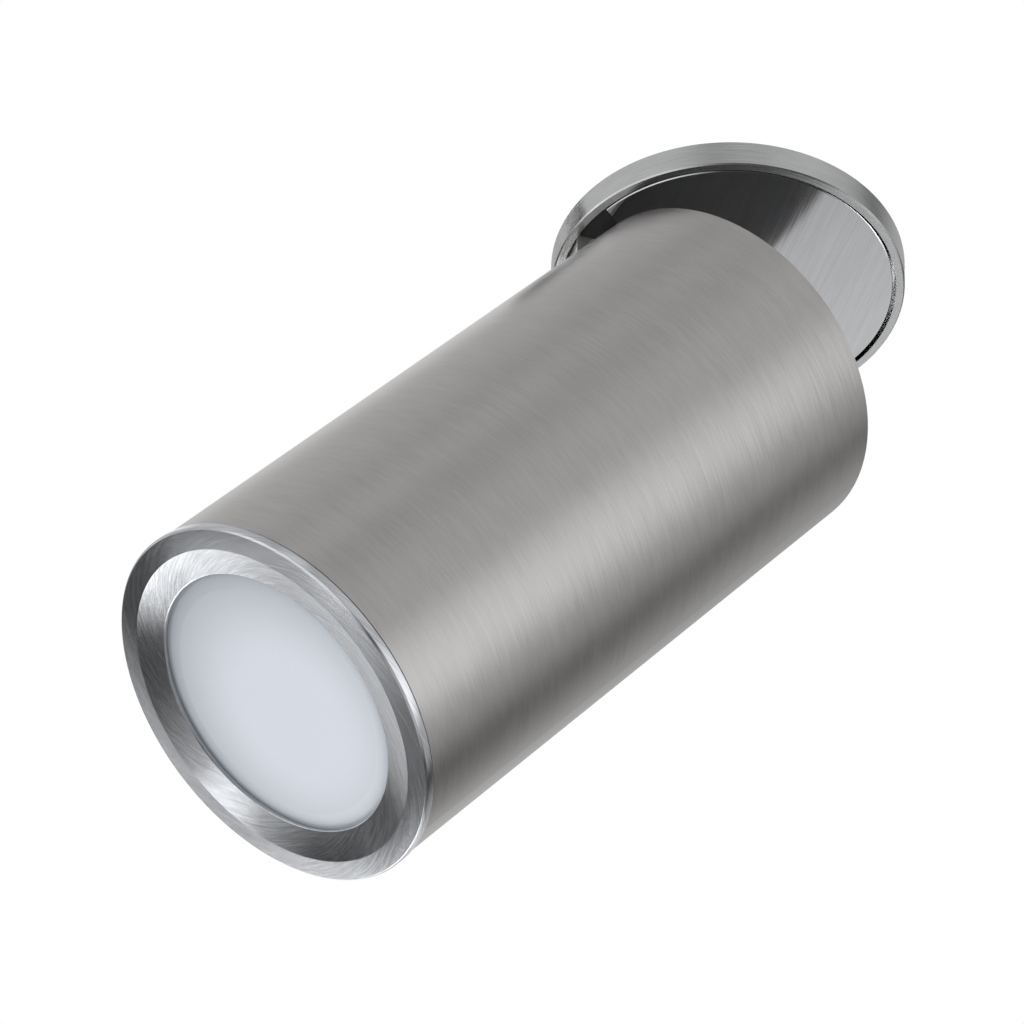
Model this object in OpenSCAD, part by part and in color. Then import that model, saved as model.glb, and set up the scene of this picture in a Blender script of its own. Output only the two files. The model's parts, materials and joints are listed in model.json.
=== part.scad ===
// Recessed spotlight: a lamp tube that tilts on an offset hinge, under a disc that swivels in a trim ring.
// The origin is the centre of the ring's ceiling-side face. +Z goes up into the ceiling.
// At rest the tube is tilted towards -X by tilt_now. Lengths are in millimetres.

/* [Tube] */
// Outer radius of the lamp tube
tube_r = 39; // [37:0.5:46]
// Length of the tube from its rear rim to the bezel's seam
tube_len = 146.4; // [134:0.2:200]
// Thickness of the tube's wall
tube_wall = 1.6; // [1.2:0.1:2.2]
// Radius of each screw port that runs along the inside of the tube
port_r = 3.4; // [3:0.1:3.8]

/* [Bezel and lens] */
// Length of the bezel that shows past the tube
bezel_len = 3; // [2.4:0.1:5]
// How far the bezel stands out past the tube's skin
bezel_proud = 0.3; // [0.1:0.05:0.8]
// Chamfer round the bezel's front edge
bezel_chamfer = 0.9; // [0.4:0.1:1.4]
// Width of the flat band round the bezel's front
bezel_flat = 3.6; // [2.4:0.1:4.4]
// Width of the cone that leads in to the lens
bezel_cone = 5.8; // [4:0.1:7]
// Depth of that cone
cone_depth = 1.5; // [0.8:0.1:2]
// Thickness of the diffuser's flange
lens_t = 2.2; // [1.6:0.1:3]
// Depth of the reflector behind the diffuser
reflector_depth = 14; // [11:0.5:18]

/* [Trim ring] */
// Height of the ring under the ceiling
ring_h = 6.4; // [6:0.1:8]
// How much wider the ring is at the ceiling than at its face
ring_taper = 0.2; // [0:0.05:0.6]
// Width of the ring's narrow front face
ring_face = 1.9; // [1.2:0.1:3]
// Radius of the round cut-out that the light is made for
cutout_r = 34; // [32:0.5:35]
// Height of the spigot that centres the ring in the cut-out
spigot_h = 6.4; // [6:0.2:9]

/* [Swivel] */
// Thickness of the swivel disc
disc_t = 1.2; // [1:0.1:1.6]
// Depth of the disc's face behind the ring's face
disc_recess = 0.35; // [0.1:0.05:0.8]
// Open gap between the disc and the ring
disc_gap = 0.7; // [0.4:0.05:1.2]
// Width at the rim of the round notch in the disc for the hinge
notch_w = 31; // [26:0.5:34]
// Depth of that notch from the disc's rim
notch_depth = 11.3; // [9:0.1:13]

/* [Hinge] */
// Tilt of the tube from straight down, in degrees
tilt_now = 38.75; // [0:0.25:90]
// Distance of the hinge axis from the tube's skin
hinge_inset = 4.05; // [3.9:0.05:6]
// Distance of the hinge axis from the tube's rear rim
hinge_depth = 8.6; // [8:0.1:12]
// Gap between the ring's face and the tube's rear rim at no tilt
rear_gap = 1.5; // [1.2:0.1:4]
// Width of the hinge arm
arm_w = 10; // [8:0.5:11]
// Thickness of the hinge arm
arm_t = 2.6; // [2:0.1:3]
// Radius of the hinge pin
hinge_pin_r = 1.5; // [1.2:0.05:1.6]
// Thickness of each of the two hinge ears
ear_t = 2.5; // [2:0.1:2.6]
// Thickness of each friction washer
washer_t = 0.5; // [0.4:0.05:0.8]

/* [Mounting can] */
// Height of the can's top above the ceiling's surface
can_top = 34; // [32:0.5:60]
// Thickness of the can's sheet
can_wall = 1.2; // [0.8:0.1:1.6]
// Radius of the cable inlet's bore
inlet_r = 3.2; // [2.5:0.1:4]

/* [Ceiling clips] */
// Height of the clips' pins above the ceiling's surface
clip_z = 18; // [17.5:0.5:20]
// Length of a clip's arm from its pin
clip_len = 30; // [26:0.5:31]
// Width of a clip's arm at its root
clip_w = 13.2; // [12.8:0.2:14]
// Slope of a clip's arm under the horizontal at rest, in degrees
clip_slope = 30; // [15:1:30]
// Radius of the clip springs' wire
wire_r = 0.5; // [0.4:0.05:0.55]
// Full turns of a clip spring
spring_turns = 4; // [3:1:4]

/* [Hidden] */
$fn = 96;
// How far a cut runs past the solid that it opens
over = 1;
// Radial clearances: of fixed pieces, of turning ones, of pieces that drop in, and of pieces that sweep past
fit_clear = 0.02;
run_clear = 0.05;
part_clear = 0.1;
move_clear = 0.35;
cutout_clear = 0.4;

// Screws: shank and head of the small and the middle size, and the depth of a screwed hole past the tip
small_r = 0.9;
small_head_r = 1.6;
small_head_h = 1.1;
mid_r = 1.3;
mid_head_r = 2.4;
mid_head_h = 1.5;
tip_room = 0.5;
screw_bite = 4;
recess_share = 0.5;

// Heights of the ring's ledge and of what turns on it
ledge_t = 3;
slip_t = 0.4;
slip_w = 6;
spring_washer_t = 0.4;
spring_washer_h = 1;
retainer_t = 2;
foot_t = 1.8;
carrier_floor = 0.9;
disc_front_z = -ring_h + disc_recess;
carrier_front_z = disc_front_z + disc_t;
carrier_floor_z = carrier_front_z + foot_t;
carrier_back_z = carrier_floor_z + carrier_floor;
ledge_z0 = carrier_back_z + slip_t;
ledge_z1 = ledge_z0 + ledge_t;
retainer_z0 = ledge_z1 + spring_washer_h;
retainer_z1 = retainer_z0 + retainer_t;

// Radii of the ring and of what turns in it
ring_edge = 0.3;
disc_edge = 0.2;
spigot_wall = 3.6;
stop_room = 3.5;
washer_seat = 4.5;
bearing_wall = 6;
ring_back_r = tube_r + ring_taper;
well_r = tube_r - ring_face;
disc_r = well_r - disc_gap;
notch_sag = sqrt(pow(disc_r, 2) - pow(0.5 * notch_w, 2)) - disc_r + notch_depth;
notch_r = 0.5 * (pow(notch_sag, 2) + pow(0.5 * notch_w, 2)) / notch_sag;
carrier_r = disc_r - 0.5 * disc_gap;
spigot_r = cutout_r - cutout_clear;
spigot_in_r = spigot_r - spigot_wall;
retainer_r = spigot_in_r - stop_room;
bearing_r = retainer_r - washer_seat;
hub_r = bearing_r - run_clear;
hub_in_r = hub_r - bearing_wall;
hub_screw_at = hub_r - 0.5 * bearing_wall;
stop_pin_r = 0.9;
stop_pin_at = spigot_in_r - 0.5 * stop_room;
stop_tab_w = 2;
flange_screw_at = spigot_r - 0.5 * spigot_wall;
third_turn = 120;
hub_screw_turn = 30;

// The hinge and the tube's place under it
eye_wall = 1.1;
ear_wall = 1.5;
slot_corner_r = 1;
foot_end = 2.7;
bend_r = 1.2;
cap_t = 3;
cap_edge = 0.4;
bush_bore_r = 1.8;
bush_wall = 1.2;
bush_lip = 0.9;
bush_inset = 11;
channel_w = 6;
hinge_r = tube_r - hinge_inset;
hinge_z = -ring_h - rear_gap - hinge_depth;
eye_r = hinge_pin_r + eye_wall;
ear_r = hinge_pin_r + ear_wall;
slot_w = arm_w + 2 * washer_t;
slot_len = hinge_depth + eye_r + move_clear;
ear_out_y = 0.5 * slot_w + ear_t;
arm_out_x = hinge_r + 0.5 * arm_t;
arm_in_x = hinge_r - 0.5 * arm_t;
foot_screw_x = hub_screw_at;
foot_screw_y = 0.25 * arm_w;
foot_len = arm_out_x - foot_screw_x + foot_end;
tube_in_r = tube_r - tube_wall;
cap_r = tube_in_r - part_clear;
port_at = tube_r - 1.4 * port_r;
port_angles = [0, third_turn, 2 * third_turn];
bush_r = bush_bore_r + bush_wall;
bush_x = tube_r - bush_inset;
bush_y = ear_out_y + bush_r + bush_lip + part_clear;
channel_y = 0.5 * arm_w + 2 * part_clear + bush_wall;

// The lamp's inside, in depths from the bezel's front face
web_t = 3.1;
lip_r = 0.4;
bezel_spigot = 6;
bezel_spigot_wall = 1.8;
lens_proud = 0.7;
lens_edge = 0.6;
lens_clear = 0.12;
seal_t = 0.8;
seal_w = 2;
reflector_t = 1.2;
reflector_throat_r = 12;
reflector_steps = 10;
board_t = 1.6;
board_r = 20.5;
board_screw_at = 17.8;
emitter_w = 15;
emitter_t = 0.8;
phosphor_r = 6.2;
phosphor_t = 0.6;
sink_t = 5;
sink_post_r = 3.2;
fin_t = 1.6;
fin_h = 20;
fin_pitch = 6.4;
fin_side_count = 4;
driver_w = 40;
driver_d = 26;
driver_len = 60;
driver_edge = 2.5;
driver_foot_t = 2;
driver_foot_ear = 6;
driver_screw_gap = 0.4;
driver_foot_d = 18;
driver_rib_t = 0.8;
driver_rib_count = 5;
driver_foot_w = driver_w + 2 * driver_foot_ear;
sink_post_at = 0.5 * driver_w + small_head_r + driver_screw_gap;
front_z = -tube_len - bezel_len;
bezel_r = tube_r + bezel_proud;
bezel_flat_r = bezel_r - bezel_chamfer;
cone_out_r = bezel_flat_r - bezel_flat;
cone_in_r = cone_out_r - bezel_cone;
lens_r = cap_r - bezel_spigot_wall - part_clear;
lens_front_r = cone_in_r - lip_r - lens_clear;
lens_back_f = web_t + lens_t;
reflector_front_f = lens_back_f + seal_t;
board_front_f = reflector_front_f + reflector_depth;
sink_front_f = board_front_f + board_t;
sink_back_f = sink_front_f + sink_t;
fin_back_f = sink_back_f + fin_h;
fin_r = port_at - port_r - move_clear;
board_screw_turn = 0.5 * third_turn;

// The can and its clips
can_flange_t = 1.5;
clip_room = 7.1;
bracket_t = 1;
bracket_angle = 17;
bracket_low = 8;
bracket_high = 9.5;
bracket_ear_t = 1;
bracket_ear_r = 2.7;
spring_r = 2.1;
spring_gap = 0.5;
spring_seat = 0.25;
spring_leg = 7;
spring_reach = 12;
clip_pin_r = 1.3;
clip_pin_head_r = 1.8;
clip_pin_head_t = 0.4;
clip_t = 1;
clip_eye_r = 2.2;
clip_root = 3.6;
clip_ear_len = 9;
clip_tip_w = 9;
clip_gap = 0.3;
pad_len = 9;
pad_w = 11;
pad_t = 3.2;
pad_past = 1.5;
rivet_r = 1.1;
rivet_head_r = 1.9;
rivet_head_t = 0.6;
rivet_inset = 2.6;
block_w = 30;
block_d = 13;
block_h = 11;
block_y = -9;
block_step_share = 0.45;
pole_count = 3;
pole_r = 1.7;
pole_pitch = 9;
inlet_y = 12;
grommet_wall = 2;
grommet_lip = 2.2;
grommet_lip_t = 1.6;
can_r = spigot_r - clip_room;
can_in_r = can_r - can_wall;
can_flange_z = spigot_h + can_flange_t;
bracket_out_r = can_r + bracket_t;
clip_x = bracket_out_r + spring_seat + spring_r + wire_r;
clip_ear_y = 0.5 * clip_w;
bracket_ear_y = clip_ear_y + clip_gap;
fold_limit_r = spigot_r - clip_gap;
bracket_out_y = bracket_ear_y + bracket_ear_t;
bracket_reach = sqrt(pow(fold_limit_r, 2) - pow(bracket_out_y, 2));
spring_pitch = 2 * wire_r + spring_gap;
grommet_hole_r = inlet_r + grommet_wall;
block_top_z = can_top - can_wall;

// Frames of the assembly

// The lamp's own frame: its rear rim is in the plane z = 0 and it shines along -Z
module in_lamp() {
    translate([-hinge_r, 0, hinge_z]) rotate([0, tilt_now, 0]) {
        translate([hinge_r, 0, hinge_depth]) children();
    }
}

// A place at a depth behind the bezel's front face
module at_depth(depth) {
    translate([0, 0, front_z + depth]) children();
}

// The right-hand clip is drawn at +X, and the left-hand one is the same turned half round
module on_left() {
    rotate([0, 0, 180]) children();
}

// A clip arm's own frame: the pin lies along Y, the arm along +X, and +Z is its upper side
module in_clip() {
    translate([clip_x, 0, clip_z]) rotate([0, clip_slope, 0]) children();
}

// Shapes that repeat

module ring_of(outer, inner, height) {
    difference() {
        cylinder(r = outer, h = height);
        translate([0, 0, -over]) cylinder(r = inner, h = height + 2 * over);
    }
}

// A rectangle centred on the origin with round corners
module round_rect(width, depth, corner) {
    square([width - 2 * corner, depth], center = true);
    square([width, depth - 2 * corner], center = true);
    for (x = [-1, 1], y = [-1, 1]) {
        translate([x * (0.5 * width - corner), y * (0.5 * depth - corner)]) circle(r = corner, $fn = 32);
    }
}

// A screw that stands on the plane z = 0 with its head above and a hexagon recess in it
module screw(shank_r, shank_len, head_r, head_h) {
    difference() {
        union() {
            cylinder(r = head_r, h = head_h, $fn = 32);
            translate([0, 0, -shank_len]) cylinder(r = shank_r, h = shank_len + 0.5 * head_h, $fn = 24);
        }
        translate([0, 0, recess_share * head_h]) cylinder(r = recess_share * head_r, h = head_h, $fn = 6);
    }
}

// A flat-headed screw that stands under the plane z = 0
module flat_screw(shank_r, shank_len, head_r, head_h) {
    difference() {
        union() {
            translate([0, 0, -head_h]) cylinder(r1 = shank_r, r2 = head_r, h = head_h, $fn = 32);
            translate([0, 0, -head_h - shank_len]) {
                cylinder(r = shank_r, h = shank_len + 0.5 * head_h, $fn = 24);
            }
        }
        translate([0, 0, -recess_share * head_h]) cylinder(r = recess_share * head_r, h = head_h, $fn = 6);
    }
}

// The hole that a flat-headed screw fills, with a little room round its head
module flat_hole(shank_r, shank_len, head_r, head_h) {
    translate([0, 0, -head_h]) {
        cylinder(r1 = shank_r + fit_clear, r2 = head_r + fit_clear, h = head_h, $fn = 32);
    }
    cylinder(r = head_r + fit_clear, h = over, $fn = 32);
    translate([0, 0, -head_h - shank_len - tip_room]) {
        cylinder(r = shank_r + fit_clear, h = shank_len + tip_room + 0.5 * head_h, $fn = 24);
    }
}

module screw_hole(shank_r, shank_len) {
    translate([0, 0, -shank_len - tip_room]) {
        cylinder(r = shank_r + fit_clear, h = shank_len + tip_room + over, $fn = 24);
    }
}

module around(count, at, from = 0) {
    for (i = [0 : count - 1]) {
        rotate([0, 0, from + i * 360 / count]) translate([at, 0, 0]) children();
    }
}

// A round bar along Y, centred on the origin
module bar_y(radius, length) {
    rotate([90, 0, 0]) cylinder(r = radius, h = length, center = true, $fn = 48);
}

// Ceiling side: the ring, the can and what they hold

module trim_ring() {
    color([0.62, 0.62, 0.61]) difference() {
        rotate_extrude($fn = 180) polygon([
            [bearing_r, ledge_z0],
            [well_r, ledge_z0],
            [well_r, -ring_h],
            [tube_r - ring_edge, -ring_h],
            [tube_r, -ring_h + ring_edge],
            [ring_back_r, 0],
            [spigot_r, 0],
            [spigot_r, spigot_h],
            [spigot_in_r, spigot_h],
            [spigot_in_r, ledge_z1],
            [bearing_r, ledge_z1],
        ]);
        translate([0, 0, spigot_h]) around(3, flange_screw_at, 90) screw_hole(small_r, screw_bite);
        translate([stop_pin_at, 0, ledge_z1 - 0.5 * ledge_t]) {
            cylinder(r = stop_pin_r + fit_clear, h = ledge_t, $fn = 24);
        }
    }
}

module slip_washer() {
    color([0.85, 0.84, 0.8]) translate([0, 0, carrier_back_z]) {
        ring_of(carrier_r - 1.5 * slip_t, carrier_r - 1.5 * slip_t - slip_w, slip_t);
    }
}

// A conical spring washer: it stands on its wide edge and bears up on the retaining ring
module spring_washer() {
    wide = retainer_r - part_clear;
    narrow = bearing_r + move_clear;
    color([0.55, 0.55, 0.56]) translate([0, 0, ledge_z1]) rotate_extrude() polygon([
        [wide, 0],
        [wide, spring_washer_t],
        [narrow + spring_washer_t, spring_washer_h],
        [narrow, spring_washer_h],
        [narrow, spring_washer_h - spring_washer_t],
        [wide - spring_washer_t, 0],
    ]);
}

module stop_pin() {
    color([0.5, 0.5, 0.52]) translate([stop_pin_at, 0, ledge_z1 - 0.5 * ledge_t]) {
        cylinder(r = stop_pin_r, h = retainer_z1 - ledge_z1 + 0.5 * ledge_t, $fn = 24);
    }
}

module mounting_can() {
    color([0.72, 0.73, 0.74]) difference() {
        rotate_extrude($fn = 144) polygon([
            [spigot_r, spigot_h],
            [spigot_r, can_flange_z],
            [can_r, can_flange_z],
            [can_r, can_top],
            [0, can_top],
            [0, block_top_z],
            [can_in_r, block_top_z],
            [can_in_r, spigot_h],
        ]);
        translate([0, 0, can_flange_z]) around(3, flange_screw_at, 90) screw_hole(small_r, screw_bite);
        translate([0, inlet_y, block_top_z - over]) cylinder(r = grommet_hole_r, h = can_wall + 2 * over);
        translate([0.5 * pole_pitch, block_y, can_top]) screw_hole(small_r, can_wall);
        for (side = [0, 180], z = [rivet_low_z(), rivet_high_z()]) {
            rotate([0, 0, side]) translate([can_in_r - over, 0, z]) rotate([0, 90, 0]) {
                cylinder(r = rivet_r + fit_clear, h = can_wall + 2 * over, $fn = 24);
            }
        }
    }
}

module can_screws() {
    color([0.6, 0.6, 0.62]) translate([0, 0, can_flange_z]) around(3, flange_screw_at, 90) {
        screw(small_r, can_flange_t + screw_bite - tip_room, small_head_r, small_head_h);
    }
}

module cable_grommet() {
    color([0.08, 0.08, 0.08]) translate([0, inlet_y, block_top_z]) rotate_extrude() polygon([
        [inlet_r, -grommet_lip_t],
        [grommet_hole_r + grommet_lip, -grommet_lip_t],
        [grommet_hole_r + grommet_lip, 0],
        [grommet_hole_r - fit_clear, 0],
        [grommet_hole_r - fit_clear, can_wall],
        [grommet_hole_r + grommet_lip, can_wall],
        [grommet_hole_r + 0.5 * grommet_lip, can_wall + grommet_lip_t],
        [inlet_r, can_wall + grommet_lip_t],
    ]);
}

module at_poles() {
    for (i = [0 : pole_count - 1]) {
        translate([(i - 0.5 * (pole_count - 1)) * pole_pitch, block_y, block_top_z]) children();
    }
}

// Connector block under the can's top: a stepped body with a wire bore and two screw wells for each pole
module terminal_block() {
    step_d = block_step_share * block_d;
    step_h = block_step_share * block_h;
    color([0.9, 0.89, 0.85]) difference() {
        translate([-0.5 * block_w, block_y - 0.5 * block_d, block_top_z - block_h]) {
            difference() {
                cube([block_w, block_d, block_h]);
                for (y = [-over, block_d - 0.5 * step_d]) {
                    translate([-over, y, -over]) {
                        cube([block_w + 2 * over, 0.5 * step_d + over, step_h + over]);
                    }
                }
            }
        }
        at_poles() translate([0, 0, -0.55 * block_h]) bar_y(pole_r, block_d + 2 * over);
        at_poles() for (y = [-1, 1]) {
            translate([0, y * 0.2 * block_d, -block_h - over]) {
                cylinder(r = small_r + part_clear, h = 0.45 * block_h + over, $fn = 24);
            }
        }
        translate([0.5 * pole_pitch, block_y, block_top_z]) screw_hole(small_r, screw_bite);
    }
}

module terminal_screws() {
    color([0.75, 0.73, 0.65]) at_poles() for (y = [-1, 1]) {
        translate([0, y * 0.2 * block_d, -0.9 * block_h]) cylinder(r = small_r, h = 0.4 * block_h, $fn = 24);
    }
}

module block_screw() {
    color([0.6, 0.6, 0.62]) translate([0.5 * pole_pitch, block_y, can_top]) {
        screw(small_r, can_wall + screw_bite - tip_room, small_head_r, small_head_h);
    }
}

// Clips: the right-hand set

function rivet_low_z() = clip_z - bracket_low + rivet_inset;
function rivet_high_z() = clip_z + bracket_high - rivet_inset;

// Bent sheet: a base that follows the can and two ears that carry the pin
module clip_bracket() {
    color([0.7, 0.7, 0.7]) difference() {
        intersection() {
            union() {
                translate([0, 0, clip_z - bracket_low]) linear_extrude(bracket_low + bracket_high) {
                    intersection() {
                        circle(r = bracket_out_r);
                        polygon([
                            [0, 0],
                            [2 * spigot_r, -2 * spigot_r * tan(bracket_angle)],
                            [2 * spigot_r, 2 * spigot_r * tan(bracket_angle)],
                        ]);
                    }
                }
                for (side = [-1, 1]) {
                    translate([clip_x, side * (bracket_ear_y + 0.5 * bracket_ear_t), clip_z]) {
                        bar_y(bracket_ear_r, bracket_ear_t);
                        translate([-clip_x, -0.5 * bracket_ear_t, -bracket_ear_r]) {
                            cube([clip_x, bracket_ear_t, 2 * bracket_ear_r]);
                        }
                    }
                }
            }
            translate([0, -fold_limit_r, 0]) cube([bracket_reach, 2 * fold_limit_r, 2 * can_top]);
        }
        cylinder(r = can_r, h = 2 * can_top, $fn = 144);
        translate([clip_x, 0, clip_z]) bar_y(clip_pin_r + fit_clear, 2 * clip_w);
        for (z = [rivet_low_z(), rivet_high_z()]) {
            translate([can_in_r, 0, z]) rotate([0, 90, 0]) {
                cylinder(r = rivet_r + fit_clear, h = clip_room, $fn = 24);
            }
        }
    }
}

module clip_rivets() {
    for (z = [rivet_low_z(), rivet_high_z()]) {
        translate([can_in_r - rivet_head_t, 0, z]) rotate([0, 90, 0]) {
            cylinder(r = rivet_r, h = can_wall + bracket_t + 2 * rivet_head_t, $fn = 24);
        }
        intersection() {
            translate([can_in_r - rivet_head_t, 0, z]) rotate([0, 90, 0]) {
                cylinder(r = rivet_head_r, h = clip_room, $fn = 24);
            }
            difference() {
                cylinder(r = bracket_out_r + rivet_head_t, h = can_top);
                cylinder(r = bracket_out_r, h = can_top);
            }
        }
        intersection() {
            translate([can_in_r - 2 * rivet_head_t, 0, z]) rotate([0, 90, 0]) {
                cylinder(r = rivet_head_r, h = 4 * rivet_head_t, $fn = 24);
            }
            difference() {
                cylinder(r = can_in_r, h = can_top, $fn = 144);
                cylinder(r = can_in_r - rivet_head_t, h = can_top);
            }
        }
    }
}

module bracket_rivets() {
    color([0.66, 0.66, 0.68]) {
        clip_rivets();
        on_left() clip_rivets();
    }
}

module clip_pin() {
    length = 2 * bracket_out_y;
    color([0.6, 0.6, 0.62]) translate([clip_x, 0, clip_z]) {
        bar_y(clip_pin_r, length + 2 * clip_pin_head_t);
        for (side = [-1, 1]) {
            translate([0, side * 0.5 * (length + clip_pin_head_t), 0]) {
                bar_y(clip_pin_head_r, clip_pin_head_t);
            }
        }
    }
}

// Spring steel arm: two ears on the pin, joined past the spring by a web that narrows to the tip
module clip_arm() {
    color([0.74, 0.74, 0.75]) in_clip() difference() {
        union() {
            for (side = [-1, 1]) {
                translate([0, side * (clip_ear_y - 0.5 * clip_t) + 0.5 * clip_t, 0]) rotate([90, 0, 0]) {
                    linear_extrude(clip_t) {
                        circle(r = clip_eye_r, $fn = 48);
                        polygon([
                            [0, -0.5 * clip_t],
                            [clip_ear_len, -0.5 * clip_t],
                            [clip_ear_len, 0.5 * clip_t],
                            [0, clip_eye_r],
                        ]);
                    }
                }
            }
            translate([0, 0, -0.5 * clip_t]) linear_extrude(clip_t) polygon([
                [clip_root, -clip_ear_y],
                [clip_ear_len, -clip_ear_y],
                [clip_len - pad_len, -0.5 * clip_tip_w],
                [clip_len, -0.5 * clip_tip_w],
                [clip_len, 0.5 * clip_tip_w],
                [clip_len - pad_len, 0.5 * clip_tip_w],
                [clip_ear_len, clip_ear_y],
                [clip_root, clip_ear_y],
            ]);
        }
        bar_y(clip_pin_r + run_clear, 2 * clip_w);
    }
}

// Soft cap over the arm's tip, so that it grips the board
module clip_pad() {
    color([0.1, 0.1, 0.1]) in_clip() difference() {
        translate([clip_len - pad_len, 0, 0]) rotate([90, 0, 90]) linear_extrude(pad_len + pad_past) {
            round_rect(pad_w, pad_t, 0.4 * pad_t);
        }
        translate([clip_len - pad_len - over, -0.5 * clip_tip_w, -0.5 * clip_t]) {
            cube([pad_len + over, clip_tip_w, clip_t]);
        }
    }
}

// The torsion spring's centre line, in the plane of the swing: from the leg that bears on the bracket,
// clockwise round the pin, and out along the arm's upper side
spring_dip = asin((spring_r - wire_r - 0.5 * clip_t - fit_clear) / spring_reach);
spring_end = 90 - clip_slope - spring_dip;
spring_sweep = 180 - spring_end + 360 * spring_turns;
spring_coil_w = spring_pitch * spring_sweep / 360;
spring_sides = 6;
spring_steps = 8 * (spring_turns + 1);
function spring_angle(t) = 180 - t * spring_sweep;
function coil_point(t) = [
    spring_r * cos(spring_angle(t)),
    -0.5 * spring_coil_w + t * spring_coil_w,
    spring_r * sin(spring_angle(t))
];
function coil_tangent(t) = [sin(spring_angle(t)), 0, -cos(spring_angle(t))];
spring_path = concat(
    [coil_point(0) - spring_leg * coil_tangent(0)],
    [for (i = [0 : spring_steps]) coil_point(i / spring_steps)],
    [coil_point(1) + spring_reach * coil_tangent(1)]
);
function spring_dir(i) = i == 0 || i == 1 ? coil_tangent(0)
    : (i >= spring_steps + 1 ? coil_tangent(1) : coil_tangent((i - 1) / spring_steps));
function section_point(i, k) = spring_path[i]
    + wire_r * cos(k * 360 / spring_sides) * [0, 1, 0]
    + wire_r * sin(k * 360 / spring_sides) * cross(spring_dir(i), [0, 1, 0]);

module clip_spring() {
    rings = len(spring_path);
    points = [for (i = [0 : rings - 1], k = [0 : spring_sides - 1]) section_point(i, k)];
    sides = [for (i = [0 : rings - 2], k = [0 : spring_sides - 1], half = [0, 1])
        let (a = i * spring_sides + k, b = i * spring_sides + (k + 1) % spring_sides)
        half == 0 ? [a, a + spring_sides, b + spring_sides] : [a, b + spring_sides, b]];
    last_ring = (rings - 1) * spring_sides;
    ends = [for (k = [1 : spring_sides - 2], end = [0, 1])
        end == 0 ? [0, k, k + 1] : [last_ring, last_ring + k + 1, last_ring + k]];
    color([0.5, 0.5, 0.52]) translate([clip_x, 0, clip_z]) polyhedron(points, concat(sides, ends));
    echo(spring_self_gap = spring_pitch - 2 * wire_r);
}

module clip_bracket_left() {
    on_left() clip_bracket();
}

module clip_bracket_right() {
    clip_bracket();
}

module clip_pin_left() {
    on_left() clip_pin();
}

module clip_pin_right() {
    clip_pin();
}

module clip_spring_left() {
    on_left() clip_spring();
}

module clip_spring_right() {
    clip_spring();
}

module clip_arm_left() {
    on_left() clip_arm();
}

module clip_arm_right() {
    clip_arm();
}

module clip_pad_left() {
    on_left() clip_pad();
}

module clip_pad_right() {
    clip_pad();
}

// Swivel side

// Cover plate. Its round notch meets the rim notch_w apart and leaves the arm room.
module swivel_disc() {
    color([0.66, 0.66, 0.65]) difference() {
        translate([0, 0, disc_front_z]) {
            cylinder(r1 = disc_r - disc_edge, r2 = disc_r, h = disc_edge, $fn = 180);
            translate([0, 0, disc_edge]) cylinder(r = disc_r, h = disc_t - disc_edge, $fn = 180);
        }
        translate([notch_depth - disc_r - notch_r, 0, disc_front_z - over]) {
            cylinder(r = notch_r, h = disc_t + 2 * over, $fn = 144);
        }
    }
}

// Dark plate behind the disc. A pocket takes the arm's foot, a channel takes the wires, and its hub turns
// in the ring.
module swivel_carrier() {
    pocket_w = arm_w + 2 * part_clear;
    color([0.12, 0.12, 0.13]) difference() {
        union() {
            translate([0, 0, carrier_front_z]) {
                cylinder(r = carrier_r, h = carrier_back_z - carrier_front_z, $fn = 144);
            }
            translate([0, 0, carrier_front_z]) {
                cylinder(r = hub_r, h = retainer_z0 - carrier_front_z, $fn = 144);
            }
        }
        translate([0, 0, carrier_floor_z - foot_t - over]) {
            cylinder(r = hub_in_r, h = retainer_z0 - carrier_front_z + 2 * over);
        }
        translate([-arm_out_x - over, -0.5 * pocket_w, carrier_front_z - over]) {
            cube([foot_len + over + part_clear, pocket_w, foot_t + over]);
        }
        translate([-arm_out_x + arm_t, channel_y, carrier_front_z - over]) {
            cube([arm_out_x - arm_t - 0.5 * hub_in_r, channel_w, foot_t + over]);
        }
        for (y = [-1, 1]) {
            translate([-foot_screw_x, y * foot_screw_y, carrier_floor_z]) mirror([0, 0, 1]) {
                screw_hole(small_r, screw_bite);
            }
        }
        translate([0, 0, retainer_z0]) around(3, hub_screw_at, hub_screw_turn) {
            screw_hole(small_r, screw_bite);
        }
    }
}

// Steel arm: a foot let in to the carrier, a bar down through the notch, and an eye on the hinge pin
module hinge_arm() {
    color([0.7, 0.7, 0.7]) difference() {
        union() {
            translate([0, 0.5 * arm_w, 0]) rotate([90, 0, 0]) linear_extrude(arm_w) {
                translate([-arm_out_x, carrier_front_z]) square([foot_len, foot_t]);
                translate([-arm_out_x, hinge_z]) square([arm_t, carrier_floor_z - hinge_z]);
                translate([-hinge_r, hinge_z]) circle(r = eye_r, $fn = 48);
                difference() {
                    translate([-arm_in_x - fit_clear, carrier_front_z - bend_r]) {
                        square([bend_r, bend_r + fit_clear]);
                    }
                    translate([-arm_in_x + bend_r, carrier_front_z - bend_r]) circle(r = bend_r, $fn = 48);
                }
            }
        }
        translate([-hinge_r, 0, hinge_z]) bar_y(hinge_pin_r + run_clear, arm_w + 2 * over);
        for (y = [-1, 1]) {
            translate([-foot_screw_x, y * foot_screw_y, carrier_front_z]) mirror([0, 0, 1]) {
                flat_hole(small_r, foot_t, small_head_r, small_head_h);
            }
        }
    }
}

module arm_screws() {
    length = foot_t - small_head_h + screw_bite - tip_room;
    color([0.6, 0.6, 0.62]) for (y = [-1, 1]) {
        translate([-foot_screw_x, y * foot_screw_y, carrier_front_z]) mirror([0, 0, 1]) {
            flat_screw(small_r, length, small_head_r, small_head_h);
        }
    }
}

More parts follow.
